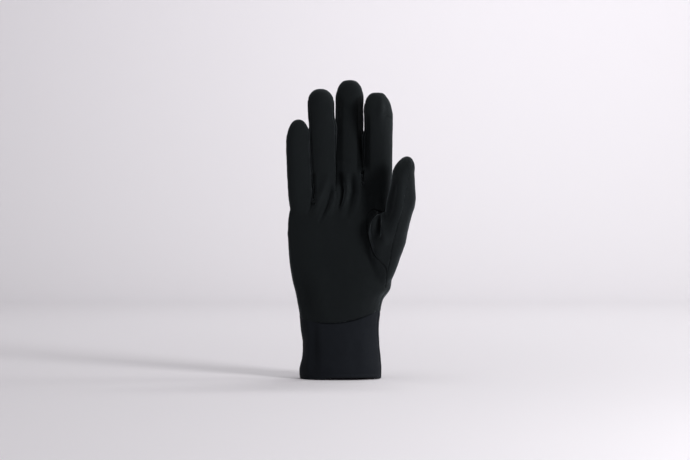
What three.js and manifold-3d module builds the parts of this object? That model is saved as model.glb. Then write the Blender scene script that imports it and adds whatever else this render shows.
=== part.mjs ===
// Softshell glove for the right hand, worn form: palm towards -Y, fingers up +Z, thumb at +X.
// Millimetres. The origin is the middle of the cuff's mouth, where the wrist goes in.
// The cloth is shaped flat against the plane y = 0 and cut into its pieces there. Then drape()
// cups the palm, leans the fingers forward, presses the folds in and bends the hem and cuff seam.
import * as THREE from 'three';
import { mergeVertices } from 'three/addons/utils/BufferGeometryUtils.js';
import Module from 'manifold-3d';

const wasm = await Module();
wasm.setup();

// Driving dimensions
const HAND_CLOTH = 1.4; // one layer of softshell
const CUFF_CLOTH = 2.0; // the cuff is folded double
const SEAM_GAP = 0.3; // between two pieces where they are sewn
const CUFF_SEAM = 58; // height of the seam between cuff and hand
const KNUCKLE_LINE = 160; // height at which the hand's own rows end, before they rise to the webs
const STRIP_WIDTH = 11; // of the strips between the fingers
const STRIP_TAPER = 20; // length over which a strip runs out towards a fingertip
const STRIP_END = 9; // from the end of a strip to the top of its finger
const HAND_SQUARENESS = 2.3; // 2 is an ellipse, more is squarer
const FINGER_SQUARENESS = 2.2;
// Rings over a fingertip, by their share of the crown's height
const CROWN_STEPS = { outside: [0.35, 0.62, 0.83, 0.95, 1], inside: [0.5, 0.85, 1] };

// The cuff, seen from the front, and its depth to the palm side and the back
const CUFF_ROWS = [
  { z: 0, left: -36.6, right: 37.0, palm: 24.5, back: 24.5 },
  { z: 7, left: -37.2, right: 37.4, palm: 24.8, back: 24.8 },
  { z: 20, left: -34.5, right: 36.3, palm: 23.4, back: 23.6 },
  { z: 32, left: -34.1, right: 35.4, palm: 22.4, back: 22.8 },
  { z: 45, left: -35.7, right: 34.8, palm: 21.8, back: 22.2 },
  { z: 58, left: -36.9, right: 36.5, palm: 21.6, back: 21.8 },
];

// The hand without its fingers and thumb, with the puff over the cuff at z 77
const HAND_ROWS = [
  { z: 58, left: -36.9, right: 36.5, palm: 21.6, back: 21.8 },
  { z: 65, left: -38.0, right: 37.3, palm: 22.2, back: 21.8 },
  { z: 71, left: -39.1, right: 39.3, palm: 22.8, back: 21.6 },
  { z: 77, left: -40.4, right: 44.1, palm: 22.6, back: 21.0 },
  { z: 88, left: -43.2, right: 46.4, palm: 21.4, back: 20.0 },
  { z: 100, left: -45.2, right: 47.2, palm: 20.0, back: 19.0 },
  { z: 115, left: -46.7, right: 47.4, palm: 18.4, back: 18.0 },
  { z: 130, left: -47.7, right: 46.8, palm: 16.2, back: 16.2 },
  { z: 144, left: -47.4, right: 45.8, palm: 13.6, back: 13.8 },
  { z: 153, left: -46.8, right: 44.9, palm: 11.8, back: 12.0 },
  { z: 160, left: -46.0, right: 44.2, palm: 10.4, back: 10.4 },
];

// Height of the hand's upper edge: the webs between the fingers lie on it
const WEB_ROWS = [
  { x: -48, z: 150.0 },
  { x: -25, z: 158.4 },
  { x: -4.5, z: 174.6 },
  { x: 20.6, z: 178.2 },
  { x: 46, z: 172.0 },
];

// The fingers: edges from the front and half the depth, from inside the hand to the crown. The crown
// is drawn in along a curve to the share flat, and ends to one side by side.
// Draped, each widens against its neighbours by widen, stands forward and leans by lean.
const FINGERS = [
  {
    name: 'little', tip: 233.2, crown: 20, flat: 0.1, side: 0.9, curve: 2,
    widen: 0.8, forward: 5.5, lean: 9,
    rows: [
      { z: 140, left: -43.0, right: -26.6, deep: 7.6 },
      { z: 162, left: -46.6, right: -25.6, deep: 9.4 },
      { z: 190, left: -47.7, right: -27.2, deep: 9.6 },
      { z: 216, left: -47.9, right: -28.6, deep: 9.6 },
    ],
  },
  {
    name: 'ring', tip: 260.7, crown: 13.2, flat: 0.1, side: -0.5, curve: 2,
    widen: 0.5, forward: 3.5, lean: 8,
    rows: [
      { z: 146, left: -22.0, right: -6.6, deep: 8.4 },
      { z: 165, left: -24.2, right: -4.9, deep: 10.2 },
      { z: 205, left: -26.8, right: -5.2, deep: 10.4 },
      { z: 246, left: -28.4, right: -5.6, deep: 10.4 },
    ],
  },
  {
    name: 'middle', tip: 269.6, crown: 17.5, flat: 0.24, side: 0, curve: 2,
    widen: 0.4, forward: -8, lean: 6,
    rows: [
      { z: 150, left: -2.0, right: 17.8, deep: 8.6 },
      { z: 172, left: -4.0, right: 19.8, deep: 10.6 },
      { z: 210, left: -4.3, right: 20.4, deep: 10.8 },
      { z: 255, left: -4.0, right: 20.8, deep: 10.8 },
    ],
  },
  {
    name: 'index', tip: 257.4, crown: 20, flat: 0.2, side: -1.5, curve: 2,
    widen: 0.4, forward: 6, lean: 8,
    rows: [
      { z: 150, left: 23.6, right: 43.4, deep: 8.4 },
      { z: 178, left: 21.6, right: 46.5, deep: 10.4 },
      { z: 210, left: 21.8, right: 46.9, deep: 10.6 },
      { z: 242, left: 22.0, right: 46.9, deep: 10.6 },
    ],
  },
];

// The thumb from its root in the palm: edges from the front, middle of its depth and half its depth
const THUMB = {
  tip: 199.2, crown: 14, flat: 0.06, side: 3, curve: 1.75,
  rows: [
    { z: 80, left: 20.0, right: 42.0, mid: -2.0, deep: 11.0 },
    { z: 96, left: 19.0, right: 49.7, mid: -6.5, deep: 13.0 },
    { z: 108, left: 22.0, right: 53.9, mid: -10.6, deep: 14.4 },
    { z: 121, left: 27.0, right: 58.2, mid: -15.0, deep: 14.8 },
    { z: 133, left: 34.6, right: 60.6, mid: -19.0, deep: 14.2 },
    { z: 146, left: 39.4, right: 63.8, mid: -23.5, deep: 13.0 },
    { z: 158, left: 40.8, right: 67.0, mid: -27.5, deep: 12.0 },
    { z: 171, left: 43.8, right: 66.7, mid: -29.5, deep: 11.4 },
    { z: 184, left: 46.4, right: 66.0, mid: -30.2, deep: 10.6 },
  ],
};
const THUMB_SEAM_TURN = THREE.MathUtils.degToRad(68); // of the seam up the thumb, from +X to the palm side
const THUMB_PARTING = { z: 150, palm: -11.8, back: 3 }; // where the thumb's cloth ends behind the thumb

// The seam round the thumb's root, seen from the front
const THUMB_SEAM_ROWS = [
  { x: 31.0, z: 150 },
  { x: 24.4, z: 137 },
  { x: 24.2, z: 126 },
  { x: 28.0, z: 115 },
  { x: 40.5, z: 99 },
  { x: 41.2, z: 89 },
  { x: 40.0, z: 79 },
];

// The side seams: how far they lie behind the plane y = 0, and their turn with x
const SIDE_SEAM_ROWS = [
  { z: -5, offset: -3, turn: -0.1 },
  { z: 60, offset: -3, turn: -0.12 },
  { z: 105, offset: -2, turn: -0.08 },
  { z: 160, offset: 0, turn: -0.03 },
  { z: 290, offset: 0, turn: 0 },
];

// Folds pressed into the palm, each along a line from one end to the other. Less than 0 is a ridge.
const FOLD_ROWS = [
  { x0: -26.2, z0: 154, x1: -29.4, z1: 144, depth: 2.2, width: 2.8 },
  { x0: -7.8, z0: 166, x1: -11.6, z1: 155, depth: 2.2, width: 2.8 },
  { x0: -11.6, z0: 155, x1: -18.0, z1: 140, depth: 1.8, width: 2.8 },
  { x0: 2.8, z0: 171, x1: 1.6, z1: 162, depth: 2.4, width: 2.8 },
  { x0: 1.6, z0: 162, x1: -1.4, z1: 151, depth: 2.0, width: 2.8 },
  { x0: 13.2, z0: 177, x1: 12.6, z1: 165, depth: 1.8, width: 3.0 },
  { x0: 12.6, z0: 165, x1: 8.6, z1: 147, depth: 1.6, width: 3.2 },
  { x0: 22.4, z0: 169, x1: 24.6, z1: 154, depth: 1.6, width: 3.0 },
  { x0: 34.6, z0: 147, x1: 34.6, z1: 130, depth: 3.0, width: 3.0 },
  { x0: 49.0, z0: 172, x1: 46.0, z1: 138, depth: 1.4, width: 4.0 },
];

// Columns of points on the palm, which run along the folds: x at the knuckle line and 32 mm below
const PALM_COLUMNS = [
  { high: -43.4, low: -44.4 },
  { high: -38.0, low: -41.4 },
  { high: -32.4, low: -38.4 },
  { high: -27.6, low: -35.4 },
  { high: -24.8, low: -32.6 },
  { high: -22.0, low: -29.8 },
  { high: -15.4, low: -25.8 },
  { high: -9.8, low: -22.6 },
  { high: -7.0, low: -19.8 },
  { high: -4.2, low: -17.0 },
  { high: 0.0, low: -8.0 },
  { high: 2.8, low: -5.0 },
  { high: 5.6, low: -2.0 },
  { high: 10.4, low: 3.0 },
  { high: 13.2, low: 6.0 },
  { high: 16.0, low: 9.0 },
  { high: 19.0, low: 19.0 },
  { high: 22.0, low: 26.0 },
  { high: 25.0, low: 30.0 },
  { high: 31.0, low: 34.6 },
  { high: 37.4, low: 39.6 },
  { high: 42.4, low: 43.8 },
];

// How far the palm's edges come forward, and the height from which the fingers do
const CUP = { middle: 3, halfWidth: 46, depth: 4 };
const LEAN = { from: 150, to: 262 };

// The cuff seam dips across the palm, and the hem rises a little in its middle
const SEAM_DIP = { depth: -7.8, middle: -10, curve: 0.0058, reach: 34 };
const HEM = { palm: 1.6, back: 1, middle: 10, halfWidth: 26, reach: 16 };

const { clamp, lerp, smoothstep } = THREE.MathUtils;

// Smooth curve through a table: gives the named columns at any value of its first column.
function curveThrough(rows) {
  const [key, ...columns] = Object.keys(rows[0]);
  const places = rows.map((row) => row[key]);
  const values = rows.flatMap((row) => columns.map((name) => row[name]));
  const curve = new THREE.CubicInterpolant(places, values, columns.length);
  const last = places.length - 1;
  return (place) => {
    const found = curve.evaluate(clamp(place, places[0], places[last]));
    return Object.fromEntries(columns.map((name, i) => [name, found[i]]));
  };
}

const cuffAt = curveThrough(CUFF_ROWS);
const handAt = curveThrough(HAND_ROWS);
const webAt = curveThrough(WEB_ROWS);
const thumbAt = curveThrough(THUMB.rows);
for (const finger of FINGERS) finger.at = curveThrough(finger.rows);

// Triangles over a ring, zipped from its first point to the far side by the shorter crossings.
function capFaces(ring) {
  const faces = [];
  let ahead = 0;
  let behind = ring.length - 1;
  while (behind - ahead > 1) {
    const viaAhead = ring[ahead + 1].distanceTo(ring[behind]);
    const viaBehind = ring[behind - 1].distanceTo(ring[ahead]);
    if (viaAhead < viaBehind) {
      faces.push([ahead, ahead + 1, behind]);
      ahead += 1;
    } else {
      faces.push([ahead, behind - 1, behind]);
      behind -= 1;
    }
  }
  return faces;
}

// Closed solid through rings of equally many points, each ring anticlockwise from above.
function loft(rings) {
  const count = rings[0].length;
  const points = rings.flat();
  const faces = [];
  for (let r = 0; r < rings.length - 1; r++) {
    for (let i = 0; i < count; i++) {
      const low = r * count + i;
      const lowNext = r * count + ((i + 1) % count);
      faces.push(low, lowNext, lowNext + count, low, lowNext + count, low + count);
    }
  }
  const top = points.length - count;
  for (const [a, b, c] of capFaces(rings[0])) faces.push(c, b, a);
  for (const [a, b, c] of capFaces(rings[rings.length - 1])) faces.push(top + a, top + b, top + c);
  return solid(new THREE.BufferGeometry().setFromPoints(points).setIndex(faces));
}

// A closed three.js geometry as a solid that can be cut and joined.
function solid(geometry) {
  geometry.deleteAttribute('normal');
  geometry.deleteAttribute('uv');
  const merged = mergeVertices(geometry, 1e-4);
  return new wasm.Manifold(new wasm.Mesh({
    numProp: 3,
    vertProperties: merged.attributes.position.array,
    triVerts: new Uint32Array(merged.index.array),
  }));
}

function union(solids) {
  return solids.reduce((sum, next) => sum.add(next));
}

// One point of a rounded section: across from -1 to 1, out on the back (1) or the palm side (-1).
function onSection(section, across, out, z) {
  const middle = (section.left + section.right) / 2;
  const halfWidth = (section.right - section.left) / 2;
  const depth = out < 0 ? section.palm : section.back;
  return new THREE.Vector3(middle + halfWidth * across, (section.mid ?? 0) + depth * out, z);
}

// A ring of points, from +X by the back to -X and by the palm side on to +X.
function sectionRing(section, squareness, steps, z) {
  return Array.from({ length: steps }, (_, i) => {
    const angle = (2 * Math.PI * i) / steps;
    const rounded = (value) => Math.sign(value) * Math.abs(value) ** (2 / squareness);
    return onSection(section, rounded(Math.cos(angle)), rounded(Math.sin(angle)), z);
  });
}

// A section taken in by a wall's thickness.
function insetBy(section, wall) {
  return {
    ...section,
    left: section.left + wall,
    right: section.right - wall,
    palm: section.palm - wall,
    back: section.back - wall,
  };
}

function heights(from, to, step) {
  const count = Math.ceil((to - from) / step);
  return Array.from({ length: count + 1 }, (_, i) => lerp(from, to, i / count));
}

// A ring of the hand. The table's rows end flat at the knuckle line. Towards it the ring rises to
// the webs, and the palm and back sink a little between the fingers.
const GAPS = WEB_ROWS.slice(1, -1).map((row) => row.x);
function handRing(z, wall, round) {
  const section = insetBy(handAt(z), wall);
  const share = smoothstep(z, 118, KNUCKLE_LINE);
  const climb = clamp(1 - (KNUCKLE_LINE - z) / 32, 0, 1);
  const backHalf = sectionRing(section, HAND_SQUARENESS, 22, z).slice(0, 12);
  const palmHalf = PALM_COLUMNS.map(({ high, low }) => {
    const across = lerp(low, high, climb) / CUP.halfWidth;
    const out = -((1 - Math.abs(across) ** HAND_SQUARENESS) ** (1 / HAND_SQUARENESS));
    return onSection(section, across, out, z);
  });
  return [...backHalf, ...palmHalf].map((p) => {
    const valley = GAPS.reduce((sum, x) => sum + Math.exp(-(((p.x - x) / 4.5) ** 2)), 0);
    p.y *= round * (1 - 0.3 * valley * share ** 3);
    p.z += (webAt(p.x).z - KNUCKLE_LINE) * share;
    return p;
  });
}

function handSolid(wall) {
  const outerRows = [CUFF_SEAM - 1, 62, 67, 72, 77, 83, 90, 98, 107, 116, 125];
  const lower = wall ? [CUFF_SEAM - 4, 66, 77, 90, 105, 120] : outerRows;
  const rings = [...lower, ...heights(133, 157, 4)].map((z) => handRing(z, wall, 1));
  const top = KNUCKLE_LINE - wall;
  return loft([...rings, handRing(top - 1, wall, 0.9), handRing(top, wall, 0.55)]);
}

// A finger or thumb: its rows up to the crown, then the crown drawn in to the tip.
function digitSolid(digit, at, wall, steps, rowStep) {
  const crownBase = digit.tip - digit.crown;
  const ringAt = (z, section) => sectionRing(section, FINGER_SQUARENESS, steps, z);
  const sectionAt = (z) => {
    const row = at(z);
    return insetBy({ mid: 0, ...row, palm: row.deep, back: row.deep }, wall);
  };
  const rings = heights(digit.rows[0].z, crownBase, rowStep).map((z) => ringAt(z, sectionAt(z)));
  const base = sectionAt(crownBase);
  const halfWidth = (base.right - base.left) / 2;
  for (const rise of wall ? CROWN_STEPS.inside : CROWN_STEPS.outside) {
    const share = digit.flat + (1 - digit.flat) * (1 - rise ** digit.curve) ** (1 / digit.curve);
    const middle = base.left + halfWidth + digit.side * rise;
    rings.push(ringAt(crownBase + (digit.crown - wall) * rise, {
      left: middle - halfWidth * share,
      right: middle + halfWidth * share,
      palm: base.palm * share,
      back: base.back * share,
      mid: base.mid,
    }));
  }
  return loft(rings);
}

function fingerSolid(finger, wall) {
  return digitSolid(finger, finger.at, wall, wall ? 10 : 16, wall ? 16 : 13);
}

function thumbSolid(wall) {
  return digitSolid(THUMB, thumbAt, wall, wall ? 12 : 18, wall ? 13 : 9);
}

function cuffSolid(wall) {
  const reach = wall ? 2 : 0;
  const rows = [-reach, ...heights(wall ? 14 : 4, 50, wall ? 18 : 9), CUFF_SEAM - SEAM_GAP / 2 + reach];
  const steps = wall ? 28 : 36;
  return loft(rows.map((z) => sectionRing(insetBy(cuffAt(z), wall), HAND_SQUARENESS, steps, z)));
}

// Everything on the palm side of the side seams, grown towards the back by an amount.
function palmBlock(grow) {
  const far = 90;
  return loft(SIDE_SEAM_ROWS.map(({ z, offset, turn }) => [
    new THREE.Vector3(far, offset + turn * far + grow, z),
    new THREE.Vector3(-far, offset - turn * far + grow, z),
    new THREE.Vector3(-far, -far, z),
    new THREE.Vector3(far, -far, z),
  ]));
}

// Where two neighbouring fingers part, seen from the front.
function partingAt(near, far, z) {
  return (near.at(z).right + far.at(z).left) / 2;
}

// The space of one strip: up the side of one finger, over the web and up the next finger.
function stripBlock(near, far, grow) {
  const web = webAt(partingAt(near, far, 170)).z;
  const halves = [[near, -1], [far, 1]].map(([finger, side]) => {
    const end = finger.tip - STRIP_END + grow;
    const taperFrom = end - STRIP_TAPER;
    const stops = [0, 0.4, 0.7, 0.9, 1].map((share) => taperFrom + STRIP_TAPER * share);
    return loft([web - 8, 170, 200, ...stops].map((z) => {
      const taper = clamp((z - taperFrom) / STRIP_TAPER, 0, 1);
      const half = (STRIP_WIDTH / 2) * Math.sqrt(1 - taper ** 2) + grow + 0.2;
      const row = finger.at(z);
      const ends = [(row.left + row.right) / 2, partingAt(near, far, z) + side * 0.01];
      const [low, high] = ends.sort((a, b) => a - b);
      return [[low, -half], [high, -half], [high, half], [low, half]]
        .map(([x, y]) => new THREE.Vector3(x, y, z));
    }));
  });
  const bridge = new THREE.BoxGeometry(1.2, STRIP_WIDTH + 2 * grow, 16);
  return union([...halves, solid(bridge.translate(partingAt(near, far, web), 0, web))]);
}

// Moves each point of an open line sideways, to the right of its direction.
function offsetLine(points, distance) {
  return points.map((p, i) => {
    const before = points[Math.max(i - 1, 0)];
    const after = points[Math.min(i + 1, points.length - 1)];
    const along = after.clone().sub(before).normalize();
    return new THREE.Vector2(p.x + along.y * distance, p.y - along.x * distance);
  });
}

// The space of the thumb's two pieces, grown by an amount on the sides where it meets the hand.
function thumbBlock(grow) {
  const far = 90;
  const { z: top, palm, back } = THUMB_PARTING;
  const line = new THREE.SplineCurve(THUMB_SEAM_ROWS.map((row) => new THREE.Vector2(row.x, row.z)));
  const edge = offsetLine(line.getPoints(18), grow);
  const corners = [new THREE.Vector2(far, 72 - grow), new THREE.Vector2(far, top + grow)];
  const outline = new THREE.Shape([...edge, ...corners]);
  const root = new THREE.ExtrudeGeometry(outline, { depth: far + back + grow, bevelEnabled: false });
  root.rotateX(Math.PI / 2).translate(0, back + grow, 0);
  const upperLength = far + palm + grow;
  const upper = new THREE.BoxGeometry(far, upperLength, far).translate(
    THUMB_SEAM_ROWS[0].x - grow + far / 2,
    palm + grow - upperLength / 2,
    top - 2 + far / 2,
  );
  return union([solid(root), solid(upper)]);
}

// Everything on the palm side of the seam up the thumb, grown towards the back by an amount.
function thumbFrontBlock(grow) {
  const far = 90;
  const along = new THREE.Vector3(Math.cos(THUMB_SEAM_TURN), -Math.sin(THUMB_SEAM_TURN), 0);
  const across = new THREE.Vector3(-along.y, along.x, 0);
  return loft([60, ...THUMB.rows.map((row) => row.z), 210].map((z) => {
    const row = thumbAt(z);
    const centre = new THREE.Vector3((row.left + row.right) / 2, row.mid, z).addScaledVector(across, grow);
    const corner = (a, b) => centre.clone().addScaledVector(along, a).addScaledVector(across, b);
    return [corner(far, 0), corner(-far, 0), corner(-far, -far), corner(far, -far)];
  }));
}

// Depth of the folds at a place on the palm.
function foldDepth(x, z) {
  const place = new THREE.Vector3(x, 0, z);
  const depths = FOLD_ROWS.map(({ x0, z0, x1, z1, depth, width }) => {
    const line = new THREE.Line3(new THREE.Vector3(x0, 0, z0), new THREE.Vector3(x1, 0, z1));
    const away = line.closestPointToPoint(place, true, new THREE.Vector3()).distanceTo(place);
    return depth * (1 - smoothstep(away, 0, width));
  });
  return Math.max(...depths);
}

// The finger that a place belongs to.
function fingerAt(x, z) {
  const index = FINGERS.slice(1).findIndex((far, i) => x < partingAt(FINGERS[i], far, z));
  return FINGERS.at(index);
}

// From the flat form to the worn one.
function drape(p) {
  const { x, y, z } = p;
  const onThumb = y < -14 && x > 20;
  const palmShare = 1 - smoothstep(y, -9, 0);
  const cup = -CUP.depth * ((x - CUP.middle) / CUP.halfWidth) ** 2;
  p.y += cup * smoothstep(z, 0, 90) + foldDepth(x, z) * palmShare;
  if (!onThumb) {
    const finger = fingerAt(x, z);
    const row = finger.at(z);
    const rise = Math.max(z - LEAN.from, 0) / (LEAN.to - LEAN.from);
    const apart = smoothstep(z, webAt(x).z - 4, webAt(x).z + 66);
    const across = (2 * x - row.left - row.right) / (row.right - row.left);
    p.x += finger.widen * across * apart;
    p.y -= finger.forward * apart + finger.lean * rise ** 1.8 * apart;
  }
  const nearSeam = Math.max(1 - Math.abs(z - CUFF_SEAM) / SEAM_DIP.reach, 0);
  const dip = SEAM_DIP.depth + SEAM_DIP.curve * (x - SEAM_DIP.middle) ** 2;
  p.z += dip * smoothstep(nearSeam, 0, 1) * (1 - smoothstep(y, -14, 8));
  const nearHem = Math.max(1 - z / HEM.reach, 0);
  const wave = 1 - smoothstep(Math.abs(x - HEM.middle), HEM.halfWidth * 0.7, HEM.halfWidth);
  p.z += lerp(HEM.palm, HEM.back, smoothstep(y, -18, -4)) * wave * nearHem;
}

// A solid as a named mesh, in its worn form.
function piece(name, cut, material) {
  const mesh = cut.getMesh();
  const points = Array.from({ length: mesh.numVert }, (_, i) => {
    const start = i * mesh.numProp;
    const p = new THREE.Vector3(...mesh.vertProperties.subarray(start, start + 3));
    drape(p);
    return p;
  });
  const geometry = new THREE.BufferGeometry().setFromPoints(points).setIndex([...mesh.triVerts]);
  geometry.computeVertexNormals();
  const made = new THREE.Mesh(geometry, material);
  made.name = name;
  return made;
}

function cloth(color, roughness) {
  return new THREE.MeshStandardMaterial({ color, roughness, metalness: 0 });
}

const softshell = cloth(0x17181a, 0.78);
const cuffJersey = cloth(0x1a1b1f, 0.72);

// The hand with its fingers and thumb, taken in by a wall's thickness.
function form(wall) {
  return union([handSolid(wall), ...FINGERS.map((finger) => fingerSolid(finger, wall)), thumbSolid(wall)]);
}

const aboveCuff = solid(new THREE.BoxGeometry(200, 200, 300)
  .translate(0, 0, 150 + CUFF_SEAM + SEAM_GAP / 2));
const hand = form(0).subtract(form(HAND_CLOTH)).intersect(aboveCuff);
const cuff = cuffSolid(0).subtract(cuffSolid(CUFF_CLOTH));

const gaps = FINGERS.slice(0, -1).map((near, i) => [near, FINGERS[i + 1]]);
const betweenStrips = hand.subtract(union(gaps.map(([near, far]) => stripBlock(near, far, SEAM_GAP))));
const half = SEAM_GAP / 2;
const thumbFront = hand.intersect(thumbBlock(-half)).intersect(thumbFrontBlock(-half));
const palm = betweenStrips.intersect(palmBlock(-half)).subtract(thumbBlock(half));
const back = betweenStrips
  .subtract(palmBlock(half).subtract(thumbBlock(-half)))
  .subtract(thumbBlock(half).intersect(thumbFrontBlock(half)));

const glove = new THREE.Group();
glove.add(
  piece('palm_panel', palm, softshell),
  piece('back_panel', back, softshell),
  piece('thumb_front', thumbFront, softshell),
  piece('cuff_front', cuff.intersect(palmBlock(-half)), cuffJersey),
  piece('cuff_back', cuff.subtract(palmBlock(half)), cuffJersey),
);
for (const [near, far] of gaps) {
  glove.add(piece(`strip_${near.name}_${far.name}`, hand.intersect(stripBlock(near, far, 0)), softshell));
}

export default glove;
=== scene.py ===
"""Softshell glove for the right hand, worn form, sewn from eight pieces, on a plain pale floor."""
import math

import bmesh
import bpy
import numpy as np
from bpy.props import FloatProperty, FloatVectorProperty, PointerProperty
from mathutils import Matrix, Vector, kdtree, noise


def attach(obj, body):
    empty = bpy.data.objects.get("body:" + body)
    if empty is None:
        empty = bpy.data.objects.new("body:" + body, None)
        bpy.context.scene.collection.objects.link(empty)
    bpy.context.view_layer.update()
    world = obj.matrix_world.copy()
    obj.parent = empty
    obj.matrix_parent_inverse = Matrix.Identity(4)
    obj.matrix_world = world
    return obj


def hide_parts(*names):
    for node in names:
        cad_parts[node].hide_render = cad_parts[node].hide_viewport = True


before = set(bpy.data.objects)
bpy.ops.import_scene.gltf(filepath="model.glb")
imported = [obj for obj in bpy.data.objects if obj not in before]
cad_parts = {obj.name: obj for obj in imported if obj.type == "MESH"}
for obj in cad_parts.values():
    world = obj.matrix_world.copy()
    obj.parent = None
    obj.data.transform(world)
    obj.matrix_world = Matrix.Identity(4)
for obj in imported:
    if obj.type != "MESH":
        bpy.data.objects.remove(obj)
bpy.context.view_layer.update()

bl_info = {
    "name": "Softshell glove",
    "version": (1, 0, 0),
    "blender": (4, 5, 0),
    "location": "View3D > Sidebar > Glove",
    "description": "Makes the sewn pieces of a softshell glove and a plain stage for it",
    "category": "Object",
}

MM = 0.001  # the tables below are in millimetres, the finished pieces in metres

# The cloth is shaped flat against the plane y = 0, palm towards -Y, and cut into its pieces there.
# Then it is draped: cupped, leaned forward, creased, and its fingers pressed together.
CUFF_START = -4.0  # the form starts below the hem and is cut off there
CUFF_SEAM = 58.0  # height of the seam between cuff and hand
KNUCKLE_LINE = 160.0  # where the hand's rows end
RISE_FROM = 118.0  # where they begin to rise, so as to end at the webs
VALLEY = {"half_width": 4.5, "share": 0.3}  # how much thinner the hand gets at each web
SQUARENESS = {"hand": 2.3, "finger": 2.2, "web": 3.6}  # of the sections; 2 is an ellipse
# Strips between the fingers: how wide, over which height they taper, where they start above the web
# and end below the fingertip
STRIP = {"width": 11.0, "taper": 20.0, "start": -3.0, "end": 9.0}
SEAM_LINES = (0.0, -0.7, 0.7, -1.6, 1.6)  # lines cut along each seam, by their distance from it
SEAM_BAND = 4.0  # how far from a seam its faces may be cut
CUT_SNAP = 0.04  # a point this close to a cut is taken as lying on it
HEM_SNAP = 0.05  # the same at the hem
CUT_OVERLAP = 2.0  # how far a seam is cut past another where they meet
SMALLEST_PATCH = 200.0  # square mm; a smaller scrap between two seams goes with the piece beside it
NARROWING = 1.4  # of each finger's inner sides before draping, so that neighbours stay apart

# Rings of faces: how many sides, and the steps between rings
SIDES = {"hand": 120, "finger": 56, "thumb": 64, "web": 48}
RING_STEP = {"cuff": 3.0, "hand": 2.5, "finger": 3.0, "web": 2.5, "web_top": 0.75}
# How the hand closes at the webs: mm below the knuckle line, share of the depth
HAND_TOP = ((1.6, 0.97), (0.9, 0.9), (0.4, 0.76), (0.1, 0.52), (0.0, 0.25))
# Rings over a fingertip, as shares of its crown, and how round it is; 2 is an ellipse
CROWN_STEPS = (0.12, 0.25, 0.38, 0.5, 0.6, 0.7, 0.78, 0.85, 0.91, 0.955, 0.985, 1.0)
FINGER_CROWN_CURVE, THUMB_CROWN_CURVE = 2.0, 1.75
SKIN_SMOOTHING, ROOT_SMOOTHING = 3, 10  # rounds
# Where the roots of fingers and thumb are smoothed more: lowest and highest x, y and height
ROOT_BOXES = [((-99, 50), (-99, 99), (118, 182)), ((10, 99), (-99, 0), (70, 160))]

# height, left and right edge from the front, depth to the palm side and to the back
CUFF_ROWS = [
    (-6, -36.2, 36.8, 24.3, 24.3),
    (0, -36.6, 37, 24.5, 24.5),
    (7, -37.2, 37.4, 24.8, 24.8),
    (20, -34.5, 36.3, 23.4, 23.6),
    (32, -34.1, 35.4, 22.4, 22.8),
    (45, -35.7, 34.8, 21.8, 22.2),
    (58, -36.9, 36.5, 21.6, 21.8),
]
HAND_ROWS = [
    (58, -36.9, 36.5, 21.6, 21.8),
    (65, -38, 37.3, 22.2, 21.8),
    (71, -39.1, 39.3, 22.8, 21.6),
    (77, -40.4, 44.1, 22.6, 21),
    (88, -43.2, 46.4, 21.4, 20),
    (100, -45.2, 47.2, 20, 19),
    (115, -46.7, 47.4, 18.4, 18),
    (130, -47.7, 46.8, 16.2, 16.2),
    (144, -47.4, 45.8, 13.6, 13.8),
    (153, -46.8, 44.9, 11.8, 12),
    (160, -46, 44.2, 10.4, 10.4),
]
# x and height of the hand's upper edge, on which the webs between the fingers lie
WEB_ROWS = [(-48, 150), (-25, 161.8), (-4.5, 174.6), (20.6, 178.2), (46, 172)]

# Each finger: tip height, crown height, how flat the crown ends and how far sideways, then how far
# it widens, stands forward, leans and turns its front to the right when draped
FINGER_COLUMNS = ("tip", "crown", "flat", "side", "widen", "forward", "lean", "turn")
FINGERS = [
    dict(zip(FINGER_COLUMNS, row)) for row in (
        (233.2, 20, 0.1, 0.9, 0.8, 5.5, 9, 0.04),  # little
        (260.7, 13.2, 0.1, -0.5, 0.5, 3.5, 8, 0.04),  # ring
        (269.6, 17.5, 0.24, 0, 0.4, -8, 6, 0),  # middle
        (257.4, 20, 0.2, -1.5, 0.4, 6, 8, 0.34),  # index
    )
]
# The rows of each: height, left, right, half the depth
FINGER_ROWS = [
    [(140, -43, -26.6, 7.6), (162, -46.6, -25.6, 9.4), (190, -47.8, -27.2, 9.6), (216, -48.1, -28.6, 9.6)],
    [(146, -22, -6.6, 8.4), (165, -24.2, -4.9, 10.2), (205, -27.1, -5.2, 10.4), (246, -28.8, -5.6, 10.4)],
    [(150, -2, 17.8, 8.6), (172, -4, 19.8, 10.8), (210, -4.3, 20.4, 11.4), (255, -4, 20.8, 11.2)],
    [(150, 23.6, 43.4, 8.4), (178, 21.6, 46.5, 10.4), (210, 21.5, 47, 10.6), (242, 21.6, 47, 10.6)],
]
# Height up to which each pair of neighbouring fingers touches
TOUCHING_TO = [226, 234, 223.5]
TOUCH_EASE = 2.2  # how far each would reach past the other if nothing were in the way
ROOT_EASE = 3.4  # and how much further at the webs

# The thumb's rows: height, left, right, middle of its depth, half its depth
THUMB = {"tip": 199.2, "crown": 14, "flat": 0.06, "side": 3.0}
THUMB_ROWS = [
    (80, 26, 42, -2, 11),
    (96, 24, 49.7, -6, 12.2),
    (108, 26, 53.9, -9.6, 12.8),
    (121, 28, 58.2, -14, 13.6),
    (133, 34.6, 60.6, -19, 14.2),
    (146, 39.4, 63.8, -23.5, 13),
    (158, 40.8, 67, -27.5, 12),
    (171, 43.8, 66.7, -29.5, 11.4),
    (184, 46.4, 66, -30.2, 10.6),
]
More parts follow.
